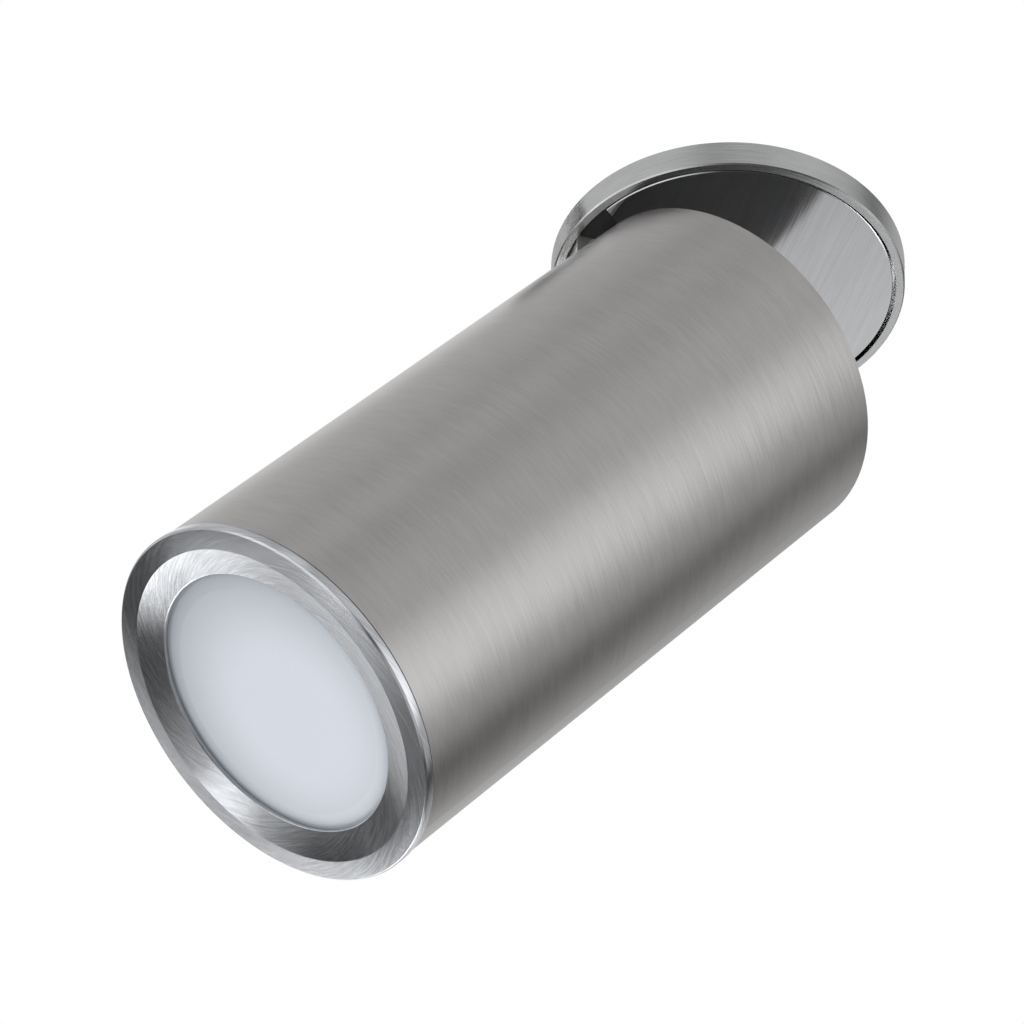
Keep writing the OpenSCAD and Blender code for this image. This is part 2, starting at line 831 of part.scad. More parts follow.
// Ring screwed to the hub's end: it hangs the swivel on the spring washer, and its tab meets the stop pin
module retaining_ring() {
    color([0.68, 0.68, 0.7]) translate([0, 0, retainer_z0]) difference() {
        union() {
            cylinder(r = retainer_r, h = retainer_t);
            translate([-(spigot_in_r - move_clear), -0.5 * stop_tab_w, 0]) {
                cube([spigot_in_r - move_clear - hub_r, stop_tab_w, retainer_t]);
            }
        }
        translate([0, 0, -over]) cylinder(r = hub_in_r, h = retainer_t + 2 * over);
        translate([0, 0, retainer_t]) around(3, hub_screw_at, hub_screw_turn) screw_hole(small_r, retainer_t);
    }
}

module retainer_screws() {
    color([0.6, 0.6, 0.62]) translate([0, 0, retainer_z1]) around(3, hub_screw_at, hub_screw_turn) {
        screw(small_r, retainer_t + screw_bite - tip_room, small_head_r, small_head_h);
    }
}

// Lamp: the tube and what closes its ends

// Extruded tube with three screw ports. Its rear is slotted for the arm, and its front is bored for the lamp.
module tube() {
    color([0.6, 0.58, 0.56]) in_lamp() difference() {
        translate([0, 0, -tube_len]) cylinder(r = tube_r, h = tube_len, $fn = 180);
        translate([0, 0, -tube_len - over]) linear_extrude(tube_len + 2 * over) difference() {
            circle(r = tube_in_r, $fn = 180);
            for (a = port_angles) {
                rotate([0, 0, a]) translate([port_at, 0]) circle(r = port_r, $fn = 48);
            }
        }
        translate([0, 0, -cap_t]) cylinder(r = tube_in_r, h = cap_t + over, $fn = 180);
        at_depth(-over) cylinder(r = tube_in_r, h = sink_back_f + over, $fn = 180);
        for (a = port_angles) {
            rotate([0, 0, a]) translate([port_at, 0, -tube_len]) {
                cylinder(r = mid_r + fit_clear, h = tube_len, $fn = 24);
            }
        }
        translate([-tube_r, 0, -0.5 * slot_len]) rotate([0, 90, 0]) {
            translate([0, 0, -tube_wall]) linear_extrude(4 * tube_wall) {
                round_rect(slot_len, slot_w, slot_corner_r);
                translate([-0.5 * slot_corner_r - over, 0]) {
                    square([slot_len - slot_corner_r, slot_w], center = true);
                }
            }
        }
    }
}

// Black cap let in to the tube's rear: two ears inside the tube carry the hinge pin either side of the arm
module rear_cap() {
    color([0.12, 0.12, 0.13]) in_lamp() difference() {
        union() {
            translate([0, 0, -cap_t]) cylinder(r = cap_r, h = cap_t - cap_edge, $fn = 180);
            translate([0, 0, -cap_edge]) cylinder(r1 = cap_r, r2 = cap_r - cap_edge, h = cap_edge, $fn = 180);
            intersection() {
                for (side = [-1, 1]) {
                    translate([0, side * (0.5 * slot_w + 0.5 * ear_t) + 0.5 * ear_t, 0]) rotate([90, 0, 0]) {
                        linear_extrude(ear_t) {
                            translate([-hinge_r, -hinge_depth]) circle(r = ear_r, $fn = 48);
                            polygon([
                                [-hinge_r - ear_r, -hinge_depth],
                                [-hinge_r - ear_r, -0.5 * cap_t],
                                [-hinge_r + 2 * ear_r, -0.5 * cap_t],
                                [-hinge_r + 2 * ear_r, -cap_t],
                                [-hinge_r + ear_r, -hinge_depth],
                            ]);
                        }
                    }
                }
                translate([0, 0, -tube_len]) cylinder(r = cap_r, h = tube_len, $fn = 180);
            }
        }
        translate([-hinge_r, 0, -hinge_depth]) bar_y(hinge_pin_r + fit_clear, 2 * ear_out_y + over);
        translate([-tube_r - over, -0.5 * slot_w, -cap_t - over]) {
            cube([tube_r + over - arm_in_x + move_clear, slot_w, cap_t + 2 * over]);
        }
        around(3, port_at) flat_hole(mid_r, cap_t, mid_head_r, mid_head_h);
        translate([-bush_x, bush_y, -cap_t - over]) cylinder(r = bush_r, h = cap_t + 2 * over, $fn = 48);
    }
}

module cap_screws() {
    color([0.55, 0.55, 0.57]) in_lamp() around(3, port_at) {
        flat_screw(mid_r, cap_t - mid_head_h + screw_bite, mid_head_r, mid_head_h);
    }
}

// Soft bush where the wires enter the lamp
module wire_bush() {
    color([0.07, 0.07, 0.07]) in_lamp() translate([-bush_x, bush_y, -cap_t]) {
        rotate_extrude($fn = 48) polygon([
            [bush_bore_r, -bush_lip],
            [bush_r + bush_lip, -bush_lip],
            [bush_r + bush_lip, 0],
            [bush_r - fit_clear, 0],
            [bush_r - fit_clear, cap_t],
            [bush_bore_r, cap_t],
        ]);
    }
}

module hinge_pin() {
    color([0.65, 0.65, 0.67]) in_lamp() translate([-hinge_r, 0, -hinge_depth]) {
        bar_y(hinge_pin_r, 2 * ear_out_y - 2 * fit_clear);
    }
}

module friction_washers() {
    color([0.78, 0.76, 0.7]) in_lamp() translate([-hinge_r, 0, -hinge_depth]) {
        for (side = [-1, 1]) {
            translate([0, side * 0.5 * (arm_w + washer_t), 0]) difference() {
                bar_y(eye_r, washer_t);
                bar_y(hinge_pin_r + run_clear, washer_t + over);
            }
        }
    }
}

// Lamp: what is inside

module driver_outline() {
    round_rect(driver_d, driver_w, driver_edge);
}

// Control gear in a ribbed plastic case on a screwed foot
module driver_case() {
    rib_step = driver_len / (driver_rib_count + 1);
    color([0.9, 0.9, 0.88]) in_lamp() at_depth(fin_back_f) difference() {
        union() {
            linear_extrude(driver_foot_t) round_rect(driver_foot_d, driver_foot_w, driver_edge);
            linear_extrude(driver_foot_t + driver_len) driver_outline();
            for (i = [1 : driver_rib_count]) {
                translate([0, 0, driver_foot_t + i * rib_step - 0.5 * driver_rib_t]) {
                    linear_extrude(driver_rib_t) {
                        round_rect(driver_d + 2 * driver_rib_t, driver_w + 2 * driver_rib_t, driver_edge);
                    }
                }
            }
        }
        for (y = [-1, 1]) {
            translate([0, y * sink_post_at, driver_foot_t]) screw_hole(small_r, driver_foot_t);
        }
    }
}

module driver_screws() {
    color([0.6, 0.6, 0.62]) in_lamp() at_depth(fin_back_f + driver_foot_t) {
        for (y = [-1, 1]) {
            translate([0, y * sink_post_at, 0]) {
                screw(small_r, driver_foot_t + screw_bite - tip_room, small_head_r, small_head_h);
            }
        }
    }
}

// Cast plate with parallel fins. It seats on the ends of the tube's ports.
module heat_sink() {
    color([0.7, 0.71, 0.72]) in_lamp() difference() {
        union() {
            at_depth(sink_front_f) cylinder(r = cap_r, h = sink_t, $fn = 144);
            at_depth(sink_back_f - fit_clear) intersection() {
                cylinder(r = fin_r, h = fin_h + fit_clear);
                union() {
                    for (i = [-fin_side_count : fin_side_count]) {
                        translate([i * fin_pitch - 0.5 * fin_t, -fin_r, 0]) {
                            cube([fin_t, 2 * fin_r, fin_h + fit_clear]);
                        }
                    }
                    for (y = [-1, 1]) {
                        translate([0, y * sink_post_at, 0]) {
                            cylinder(r = sink_post_r, h = fin_h + fit_clear, $fn = 48);
                        }
                    }
                }
            }
        }
        at_depth(fin_back_f) for (y = [-1, 1]) {
            translate([0, y * sink_post_at, 0]) screw_hole(small_r, screw_bite);
        }
        at_depth(sink_front_f) mirror([0, 0, 1]) {
            around(3, port_at) screw_hole(mid_r, sink_t);
            around(2, board_screw_at, board_screw_turn) screw_hole(small_r, sink_t);
        }
    }
}

module sink_screws() {
    color([0.6, 0.6, 0.62]) in_lamp() at_depth(sink_front_f) mirror([0, 0, 1]) {
        around(3, port_at) screw(mid_r, sink_t + screw_bite, mid_head_r, mid_head_h);
    }
}

module led_board() {
    color([0.93, 0.93, 0.9]) in_lamp() at_depth(board_front_f) difference() {
        cylinder(r = board_r, h = board_t);
        around(2, board_screw_at, board_screw_turn) translate([0, 0, -over]) {
            cylinder(r = small_r + fit_clear, h = board_t + 2 * over, $fn = 24);
        }
    }
}

module board_screws() {
    color([0.6, 0.6, 0.62]) in_lamp() at_depth(board_front_f) mirror([0, 0, 1]) {
        around(2, board_screw_at, board_screw_turn) {
            screw(small_r, board_t + sink_t - 2 * tip_room, small_head_r, small_head_h);
        }
    }
}

// Light source: a square carrier with a round yellow phosphor
module led_emitter() {
    color([0.95, 0.8, 0.3]) in_lamp() at_depth(board_front_f) mirror([0, 0, 1]) {
        linear_extrude(emitter_t) round_rect(emitter_w, emitter_w, phosphor_t);
        cylinder(r = phosphor_r, h = emitter_t + phosphor_t);
    }
}

// The reflector's inner radius at a share of its depth from the diffuser
reflector_mouth_r = lens_r - seal_w - 2 * reflector_t;
function bowl_r(share) = reflector_throat_r + (reflector_mouth_r - reflector_throat_r) * cos(90 * share);

module reflector() {
    steps = [for (i = [0 : reflector_steps]) i / reflector_steps];
    back = [for (i = [reflector_steps : -1 : 0]) i / reflector_steps];
    color([0.95, 0.95, 0.95]) in_lamp() at_depth(reflector_front_f) rotate_extrude() polygon(concat(
        [for (s = steps) [bowl_r(s), s * reflector_depth]],
        [for (s = back) if (s * reflector_depth > reflector_t)
            [bowl_r(s) + reflector_t, s * reflector_depth]],
        [
            [reflector_mouth_r + reflector_t, reflector_t],
            [lens_r, reflector_t],
            [lens_r, 0],
        ]
    ));
}

module lens_seal() {
    color([0.2, 0.2, 0.2]) in_lamp() at_depth(lens_back_f) ring_of(lens_r, lens_r - seal_w, seal_t);
}

// Frosted diffuser: a flange behind the bezel's lip and a soft-edged face that stands in its opening
module diffuser() {
    color([0.85, 0.88, 0.92]) in_lamp() at_depth(web_t) {
        cylinder(r = lens_r, h = lens_t, $fn = 144);
        rotate_extrude($fn = 144) {
            translate([0, -lens_proud]) {
                square([lens_front_r - lens_edge, lens_proud + 0.5 * lens_t]);
            }
            translate([0, -lens_proud + lens_edge]) {
                square([lens_front_r, lens_proud - lens_edge + 0.5 * lens_t]);
            }
            translate([lens_front_r - lens_edge, -lens_proud + lens_edge]) {
                circle(r = lens_edge, $fn = 32);
            }
        }
    }
}

// Front ring: a chamfered band, a flat, a shallow cone and a round lip, with a spigot inside the tube
module bezel() {
    color([0.62, 0.62, 0.62]) in_lamp() at_depth(0) rotate_extrude($fn = 180) {
        polygon([
            [cone_in_r, cone_depth],
            [cone_out_r, 0],
            [bezel_flat_r, 0],
            [bezel_r, bezel_chamfer],
            [bezel_r, bezel_len],
            [cap_r, bezel_len],
            [cap_r, bezel_len + bezel_spigot],
            [cap_r - bezel_spigot_wall, bezel_len + bezel_spigot],
            [cap_r - bezel_spigot_wall, web_t],
            [cone_in_r, web_t],
        ]);
        translate([cone_in_r, cone_depth + lip_r]) circle(r = lip_r, $fn = 32);
    }
}

trim_ring();
slip_washer();
spring_washer();
stop_pin();
mounting_can();
can_screws();
cable_grommet();
terminal_block();
terminal_screws();
block_screw();
clip_bracket_left();
clip_bracket_right();
bracket_rivets();
clip_pin_left();
clip_pin_right();
clip_spring_left();
clip_spring_right();
clip_arm_left();
clip_arm_right();
clip_pad_left();
clip_pad_right();
swivel_disc();
swivel_carrier();
hinge_arm();
arm_screws();
retaining_ring();
retainer_screws();
tube();
rear_cap();
cap_screws();
wire_bush();
hinge_pin();
friction_washers();
driver_case();
driver_screws();
heat_sink();
sink_screws();
led_board();
board_screws();
led_emitter();
reflector();
lens_seal();
diffuser();
bezel();
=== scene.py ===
# %% [markdown]
# # A ceiling spotlight on an offset hinge
# The object is a recessed light: a brushed lamp tube hangs from a slim trim ring and tilts out of
# the way on one side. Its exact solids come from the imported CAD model. This script dresses them,
# turns finer meshes for the surfaces that catch the light, winds the two clip springs, and lights
# the lot like a small product studio.

# %% Load the solids
import json
import math

import bmesh
import bpy
from mathutils import Matrix, Vector


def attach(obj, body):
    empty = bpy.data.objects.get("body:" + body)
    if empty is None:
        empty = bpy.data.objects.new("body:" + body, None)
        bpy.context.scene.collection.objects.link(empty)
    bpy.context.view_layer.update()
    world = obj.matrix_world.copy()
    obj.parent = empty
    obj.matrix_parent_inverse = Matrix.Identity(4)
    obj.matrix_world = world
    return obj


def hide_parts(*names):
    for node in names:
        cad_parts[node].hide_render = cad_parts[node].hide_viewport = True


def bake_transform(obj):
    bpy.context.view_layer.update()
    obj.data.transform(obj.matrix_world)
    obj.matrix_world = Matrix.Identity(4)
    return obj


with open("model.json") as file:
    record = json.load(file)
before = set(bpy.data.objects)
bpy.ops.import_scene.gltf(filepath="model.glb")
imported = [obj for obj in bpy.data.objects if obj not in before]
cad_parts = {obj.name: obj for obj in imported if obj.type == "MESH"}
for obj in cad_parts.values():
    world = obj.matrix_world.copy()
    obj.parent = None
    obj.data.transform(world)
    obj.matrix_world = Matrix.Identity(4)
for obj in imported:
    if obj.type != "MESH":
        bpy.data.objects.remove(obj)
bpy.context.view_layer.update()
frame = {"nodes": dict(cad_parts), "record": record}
nodes = frame["nodes"]

# %% [markdown]
# ## Camera
# The photograph looks up at the light from below and in front, with a long lens that hardly
# narrows the far end of the tube. A camera could be aimed with a tracking constraint, but then its
# roll would be level. Here the three directions of the picture are set directly: right, down, and
# into the picture.

# %% Camera
MM = 0.001
PICTURE_RIGHT = Vector((0.9594, -0.2811, 0.0228))
PICTURE_DOWN = Vector((0.2020, 0.6285, -0.7511))
INTO_PICTURE = PICTURE_RIGHT.cross(PICTURE_DOWN).normalized()
CAMERA_AT = Vector((-221.2, -638.7, -665.4)) * MM
# Blender has a lens and its sensor in mm, and distances in metres
FOCAL_LENGTH, SENSOR_WIDTH = 149.754, 36
NEAREST, FARTHEST = 0.01, 20

camera = bpy.data.objects.new("camera", bpy.data.cameras.new("camera"))
bpy.context.scene.collection.objects.link(camera)
bpy.context.scene.camera = camera
camera.data.lens, camera.data.sensor_width = FOCAL_LENGTH, SENSOR_WIDTH
camera.data.clip_start, camera.data.clip_end = NEAREST, FARTHEST
axes = Matrix((PICTURE_RIGHT.normalized(), -PICTURE_DOWN.normalized(), -INTO_PICTURE)).transposed()
camera.matrix_world = Matrix.Translation(CAMERA_AT) @ axes.to_4x4()
print("camera at", tuple(CAMERA_AT), "looking along", tuple(INTO_PICTURE))

# %% [markdown]
# ## The lamp's own frame
# The tube, its bezel and its lens are turned parts, so they are easiest to draw upright, on their
# own axis, and to swing into place last. The frame's origin is the middle of the tube's rear rim,
# and the lamp shines along -Z. The same matrix, turned back, centres the brushing on the tube.

# %% The lamp's frame
HINGE_X, HINGE_Z, HINGE_DEPTH = -34.95 * MM, -16.5 * MM, 8.6 * MM
TILT = math.radians(38.75)
IN_LAMP = (
    Matrix.Translation((HINGE_X, 0, HINGE_Z))
    @ Matrix.Rotation(TILT, 4, "Y")
    @ Matrix.Translation((-HINGE_X, 0, HINGE_DEPTH))
)
print("the tube's rear rim is centred on", tuple(IN_LAMP.translation))

# %% [markdown]
# ## Shader maths
# A procedural finish is arithmetic on noise. Wiring Math nodes by hand hides the formula, so one
# small class wraps a socket and lets Python's own operators add those nodes. A second one holds a
# node tree, and its node method makes any other node from its type, its inputs and its settings.

# %% Shader maths
class Term:
    """A value in a node tree that Python's operators can work on."""

    def __init__(self, wiring, socket):
        self.wiring, self.socket = wiring, socket

    def maths(self, operation, *values):
        node = self.wiring.node("ShaderNodeMath", dict(enumerate(values)), operation=operation)
        return Term(self.wiring, node.outputs[0])

    def __add__(self, other):
        return self.maths("ADD", self, other)

    __radd__ = __add__

    def __sub__(self, other):
        return self.maths("SUBTRACT", self, other)

    def __rsub__(self, other):
        return self.maths("SUBTRACT", other, self)

    def __mul__(self, other):
        return self.maths("MULTIPLY", self, other)

    __rmul__ = __mul__

    def between(self, low, high):
        """0 at low and 1 at high, smooth between them and level beyond them."""
        inputs = {0: self, 1: low, 2: high}
        node = self.wiring.node("ShaderNodeMapRange", inputs, interpolation_type="SMOOTHSTEP")
        return Term(self.wiring, node.outputs[0])


class Wiring:
    """A node tree, with short ways to add nodes to it."""

    def __init__(self, tree):
        self.tree = tree

    def node(self, kind, inputs=None, **settings):
        made = self.tree.nodes.new(kind)
        for name, value in settings.items():
            setattr(made, name, value)
        for name, value in (inputs or {}).items():
            self.fill(made.inputs[name], value)
        return made

    def fill(self, socket, value):
        """Links an input to a Term or another socket, or else sets its own value."""
        value = value.socket if isinstance(value, Term) else value
        if isinstance(value, bpy.types.NodeSocket):
            self.tree.links.new(value, socket)
        else:
            socket.default_value = value

    def noise(self, point, detail, roughness):
        inputs = {"Vector": point, "Scale": 1.0, "Detail": detail, "Roughness": roughness}
        return Term(self, self.node("ShaderNodeTexNoise", inputs).outputs["Fac"])

    def vector(self, operation, *values):
        """Vector Math. SCALE takes a number as its second value, and two operations give one."""
        slots = (0, "Scale") if operation == "SCALE" else (0, 1)
        made = self.node("ShaderNodeVectorMath", dict(zip(slots, values)), operation=operation)
        return made.outputs["Value" if operation in ("LENGTH", "DOT_PRODUCT") else "Vector"]

    def length(self, point):
        return Term(self, self.vector("LENGTH", point))

    def apart(self, point):
        """The x, y and z of a point."""
        outputs = self.node("ShaderNodeSeparateXYZ", {0: point}).outputs
        return [Term(self, output) for output in outputs]

    def joined(self, x=0, y=0, z=0):
        return self.node("ShaderNodeCombineXYZ", {0: x, 1: y, 2: z}).outputs[0]


print("shader helpers:", [helper.__name__ for helper in (Term, Wiring)])

# %% [markdown]
# ## A finish
# Plastic, rubber and metal are all one Principled shader with other numbers, but a real surface is
# never quite even. An image could vary it. A third class holds the shader with its own colour
# instead, so that noise can vary the colour, the roughness and the normal at any scale.

# %% A finish
# The Mix node has its colours in these sockets, and the grain of every finish is this high
COLOUR_A, COLOUR_B, COLOUR_OUT = 6, 7, 2
BUMP_HEIGHT = 0.02 * MM


class Finish(Wiring):
    """A Principled material, with short ways to vary it over a surface."""

    def __init__(self, name, colour, roughness, metallic=0.0):
        self.material = bpy.data.materials.new(name)
        self.material.use_nodes = True
        super().__init__(self.material.node_tree)
        self.shader = self.tree.nodes["Principled BSDF"]
        self.name, self.colour = name, colour
        self.feed("Base Color", (*colour, 1))
        self.feed("Roughness", roughness)
        self.feed("Metallic", metallic)

    def feed(self, socket, value):
        self.fill(self.shader.inputs[socket], value)

    def place(self, matrix=None, scale=(1, 1, 1)):
        """Object coordinates, moved into the frame that matrix leads out of, then stretched."""
        point = self.node("ShaderNodeTexCoord").outputs["Object"]
        if matrix is not None:
            back = matrix.inverted()
            inputs = {"Vector": point, "Location": back.translation, "Rotation": back.to_euler()}
            point = self.node("ShaderNodeMapping", inputs).outputs[0]
        return self.node("ShaderNodeMapping", {"Vector": point, "Scale": scale}).outputs[0]

    def shade(self, share, darker, lighter):
        """The base colour runs between two multiples of the finish's own colour."""
        inputs = {0: share}
        for socket, level in ((COLOUR_A, darker), (COLOUR_B, lighter)):
            inputs[socket] = [*(min(1, channel * level) for channel in self.colour), 1]
        mixed = self.node("ShaderNodeMix", inputs, data_type="RGBA")
        self.feed("Base Color", mixed.outputs[COLOUR_OUT])

    def tint(self, noise, contrast):
        """Noise, whose values crowd round a half, makes the colour a little darker or lighter."""
        self.shade(noise.between(0.3, 0.7), 1 - contrast, 1 + contrast)

    def bump(self, height, strength):
        inputs = {"Height": height, "Strength": strength, "Distance": BUMP_HEIGHT}
        self.feed("Normal", self.node("ShaderNodeBump", inputs).outputs[0])


print("grain is", BUMP_HEIGHT / MM, "mm high")

# %% [markdown]
# ## Brushed metal
# The tube was spun against an abrasive pad, so its lines run round it. The swivel disc was drawn
# straight through a belt, and the strokes on the bezel run across it in a swirl. The shader's
# anisotropy could stand for such lines. Here the lines are there themselves: noise squeezed hard
# across them tints the metal, makes it rougher and smoother, and tilts the normal a little, across
# the lines only. Turning has also left the bezel's face rippled, far finer than a pixel. An even
# saw of slopes tilts the normal in and out along each radius, so that every spot mirrors a long
# stretch of the room: that draws the fans of light on the bezel.

# %% Brushed metal
# The swirl's strokes are as fine as asked for at SWIRL_R, and turn by SWIRL_TWIST radians a metre
SWIRL_R, SWIRL_TWIST = 34 * MM, -90
# The ripples reach to the end of the bezel's flat band
RIPPLE_PITCH, RIPPLE_EDGE = 0.12 * MM, 38.9 * MM


def streaks(finish, point, kind, fine, length):
    """Noise in lines: fine is how many grains there are to a metre across, length along."""
    x, y, z = finish.apart(point)
    if kind == "straight":
        return finish.joined(x * fine, y * length, z * length)
    flat = finish.joined(x, y)
    outward = finish.length(flat) + z
    if kind == "turned":
        return finish.joined(x * length, y * length, outward * fine)
    spoke = finish.node(
        "ShaderNodeVectorRotate",
        {"Vector": finish.vector("NORMALIZE", flat), "Angle": outward * SWIRL_TWIST},
        rotation_type="Z_AXIS",
    ).outputs[0]
    across = finish.vector("SCALE", spoke, SWIRL_R * fine)
    return finish.vector("ADD", across, finish.joined(z=outward * length))


def tilt_across(finish, matrix, kind, tilt):
    """Tilts the normal across the brushing. It needs the way the brush went, in world space."""
    brushed_along = (0, 1, 0)
    if kind != "straight":
        spot = finish.node("ShaderNodeTexCoord").outputs["Object"]
        outward = finish.vector("SUBTRACT", spot, matrix.translation)
        brushed_along = finish.vector("CROSS_PRODUCT", matrix.col[2].xyz, outward)
    in_world = finish.node(
        "ShaderNodeVectorTransform", {0: brushed_along}, convert_from="OBJECT", convert_to="WORLD"
    )
    along = finish.vector("NORMALIZE", in_world.outputs[0])
    normal = finish.node("ShaderNodeNewGeometry").outputs["Normal"]
    across = finish.vector("CROSS_PRODUCT", along, normal)
    tilted = finish.vector("ADD", normal, finish.vector("SCALE", across, tilt))
    finish.feed("Normal", finish.vector("NORMALIZE", tilted))


def ripples(finish, point):
    """A saw that runs evenly between -1 and 1, in rings round the lamp's axis, up to their edge."""
    x, y, z = finish.apart(point)
    radius = finish.length(finish.joined(x, y))
    rings = (radius + z) * (1 / RIPPLE_PITCH)
    saw = (rings.maths("PINGPONG", rings, 0.5) - 0.25) * 4
    return saw * radius.between(RIPPLE_EDGE + RIPPLE_PITCH, RIPPLE_EDGE)


def brushed(
    name, colour, roughness, kind, matrix=Matrix(),
    fine=3200, length=170, coarse=0.12, contrast=0.07, tilt=0.12, fan=0,
):
    """Metal with fine lines, and broad streaks that have fine * coarse grains to the metre.

    Tilt says how far the lines tip the normal, and fan how far the ripples do.
    """
    finish = Finish(name, colour, roughness, 1.0)
    point = finish.place(matrix)
    lines = finish.noise(streaks(finish, point, kind, fine, length), detail=3, roughness=0.6)
    broad = streaks(finish, point, kind, fine * coarse, length * 0.5)
    grain = lines * 0.7 + finish.noise(broad, detail=2, roughness=0.5) * 0.3
    finish.tint(grain, contrast)
    finish.feed("Roughness", (grain - 0.5) * 0.15 + roughness)
    grooves = streaks(finish, point, kind, fine * 1.4, length * 0.5)
    slope = (finish.noise(grooves, detail=1, roughness=0.5) - 0.5) * tilt
    if fan:
        slope = ripples(finish, point) * fan + slope
    tilt_across(finish, matrix, kind, slope)
    return finish


TUBE = brushed("brushed_tube", (0.478, 0.467, 0.461), 0.32, "turned", IN_LAMP)
RING = brushed("brushed_ring", (0.595, 0.60, 0.605), 0.26, "turned")
DISC = brushed("brushed_disc", (0.61, 0.615, 0.625), 0.1, "straight", length=60, tilt=0.02)
BEZEL = brushed(
    "brushed_bezel", (0.585, 0.60, 0.625), 0.12, "swirled", IN_LAMP,
    fine=2200, length=600, coarse=0.5, contrast=0.15, tilt=0.035, fan=0.22,
)
print("brushed finishes:", [finish.name for finish in (TUBE, RING, DISC, BEZEL)])

# %% [markdown]
# ## Opal lens
# The diffuser is frosted plastic, lit by nothing here but the studio. It's a pale blue-grey with a
# velvet surface. Its colour carries painted shade: palest round a spot a little off its middle and
# darker towards the rim, where the bezel's lip shades the recessed lens. Subsurface scattering
# would soften it more, but the flat sheet has nothing to glow through.

# %% Opal lens
# Painted shade on the lens: pale round a spot off its middle, darker out towards the rim
PAINTED_LIT_SPOT_X, PAINTED_LIT_R, PAINTED_SHADE_R = 4.5 * MM, 12 * MM, 40 * MM
FROST_GRAINS = 2500  # to the metre

LENS = Finish("frosted_lens", (0.72, 0.765, 0.83), 0.42)
lens_x, lens_y, _ = LENS.apart(LENS.place(IN_LAMP))
from_painted_lit_spot = LENS.length(LENS.joined(lens_x - PAINTED_LIT_SPOT_X, lens_y))
frost = LENS.noise(LENS.place(IN_LAMP, (FROST_GRAINS,) * 3), detail=2, roughness=0.6)
# The lens colour is painted shade, darker towards the rim and on the side away from the pale spot
LENS.shade(from_painted_lit_spot.between(PAINTED_SHADE_R, PAINTED_LIT_R) * 0.92 + frost * 0.08, 0.56, 1.06)
LENS.bump(frost, 0.12)
print("lens finish:", LENS.name)

# %% [markdown]
# ## Plain finishes
# The parts above the ceiling and inside the lamp are plated sheet, cast metal, moulded plastic and
# rubber. Each gets the small-scale unevenness of its kind: plating has a faint cloudy spangle,
# moulded plastic a fine texture, rubber a dull bloom.

# %% Plain finishes
def mottled(name, colour, roughness, metallic=0.0, size=900, contrast=0.06, depth=0.1):
    """A finish with size spots to the metre, among clouds that are ten times as large."""
    finish = Finish(name, colour, roughness, metallic)
    spots = finish.noise(finish.place(scale=(size,) * 3), detail=4, roughness=0.6)
    clouds = finish.noise(finish.place(scale=(size * 0.1,) * 3), detail=2, roughness=0.5)
    both = spots * 0.5 + clouds * 0.5
    finish.tint(both, contrast)
    finish.feed("Roughness", (both - 0.5) * 0.2 + roughness)
    finish.bump(spots, depth)
    return finish


OTHERS = [
    mottled("black_carrier", (0.03, 0.03, 0.03), 0.55, size=1600),
    mottled("hinge_steel", (0.72, 0.71, 0.69), 0.62, 1.0),
    mottled("black_cap", (0.035, 0.035, 0.037), 0.4, size=1600),
    mottled("zinc_sheet", (0.62, 0.63, 0.65), 0.36, 1.0, size=300, contrast=0.1),
    brushed("clip_steel", (0.60, 0.60, 0.61), 0.28, "straight", fine=900, length=60),
    mottled("spring_steel", (0.42, 0.42, 0.43), 0.3, 1.0),
    mottled("steel_pin", (0.58, 0.58, 0.60), 0.22, 1.0),
    mottled("screw_steel", (0.60, 0.60, 0.62), 0.28, 1.0),
    mottled("rivet_aluminium", (0.66, 0.66, 0.66), 0.38, 1.0),
    mottled("sink_aluminium", (0.62, 0.63, 0.64), 0.5, 1.0, size=2200, depth=0.4),
    mottled("black_rubber", (0.03, 0.03, 0.03), 0.75, size=2600, depth=0.4),
    mottled("nylon", (0.80, 0.78, 0.72), 0.5, size=1500),
    mottled("terminal_plastic", (0.82, 0.81, 0.76), 0.42, size=1800),
    mottled("terminal_brass", (0.72, 0.60, 0.35), 0.3, 1.0),
    mottled("driver_plastic", (0.80, 0.80, 0.78), 0.45, size=1800, depth=0.3),
    mottled("board_white", (0.86, 0.86, 0.84), 0.3, size=1800),
    mottled("phosphor", (0.85, 0.66, 0.14), 0.6, size=2600),
    mottled("reflector_white", (0.86, 0.86, 0.86), 0.3, size=1200),
]
FINISHES = {finish.name: finish for finish in (TUBE, RING, DISC, BEZEL, LENS, *OTHERS)}
for part in frame["record"]["subparts"]:
    mesh = nodes[part["node"]].data
    mesh.materials.clear()
    mesh.materials.append(FINISHES[part["material_slot"]].material)
print(len(FINISHES), "finishes on", len(nodes), "solids")

# %% [markdown]
# ## Turned pieces
# The solids have sharp corners, and real turned parts don't: each corner has a small round that
# draws a thin line of light. A bevel modifier would round every edge of a dense mesh alike. Here
# a profile is written as corners with a radius each, and it is spun round the lamp's axis.

# %% Turned pieces
LAMP_FRONT = -149.4 * MM
SPIN_STEPS, ROUND_STEPS = 192, 6
SAME_PLACE = 0.0001 * MM


def new_piece(name, bm, finish, body=None):
    """Turns a finished bmesh into an object, which rides on a body if one is given."""
    bmesh.ops.recalc_face_normals(bm, faces=bm.faces)
    mesh = bpy.data.meshes.new(name)
    bm.to_mesh(mesh)
    bm.free()
    mesh.materials.append(FINISHES[finish].material)
    piece = bpy.data.objects.new(name, mesh)
    bpy.context.scene.collection.objects.link(piece)
    if body:
        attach(piece, body)
    print(f"{name}: {len(mesh.polygons)} faces")
    return piece


def shade_by_angle(piece, degrees):
    piece.data.shade_smooth()
    piece.data.set_sharp_from_angle(angle=math.radians(degrees))


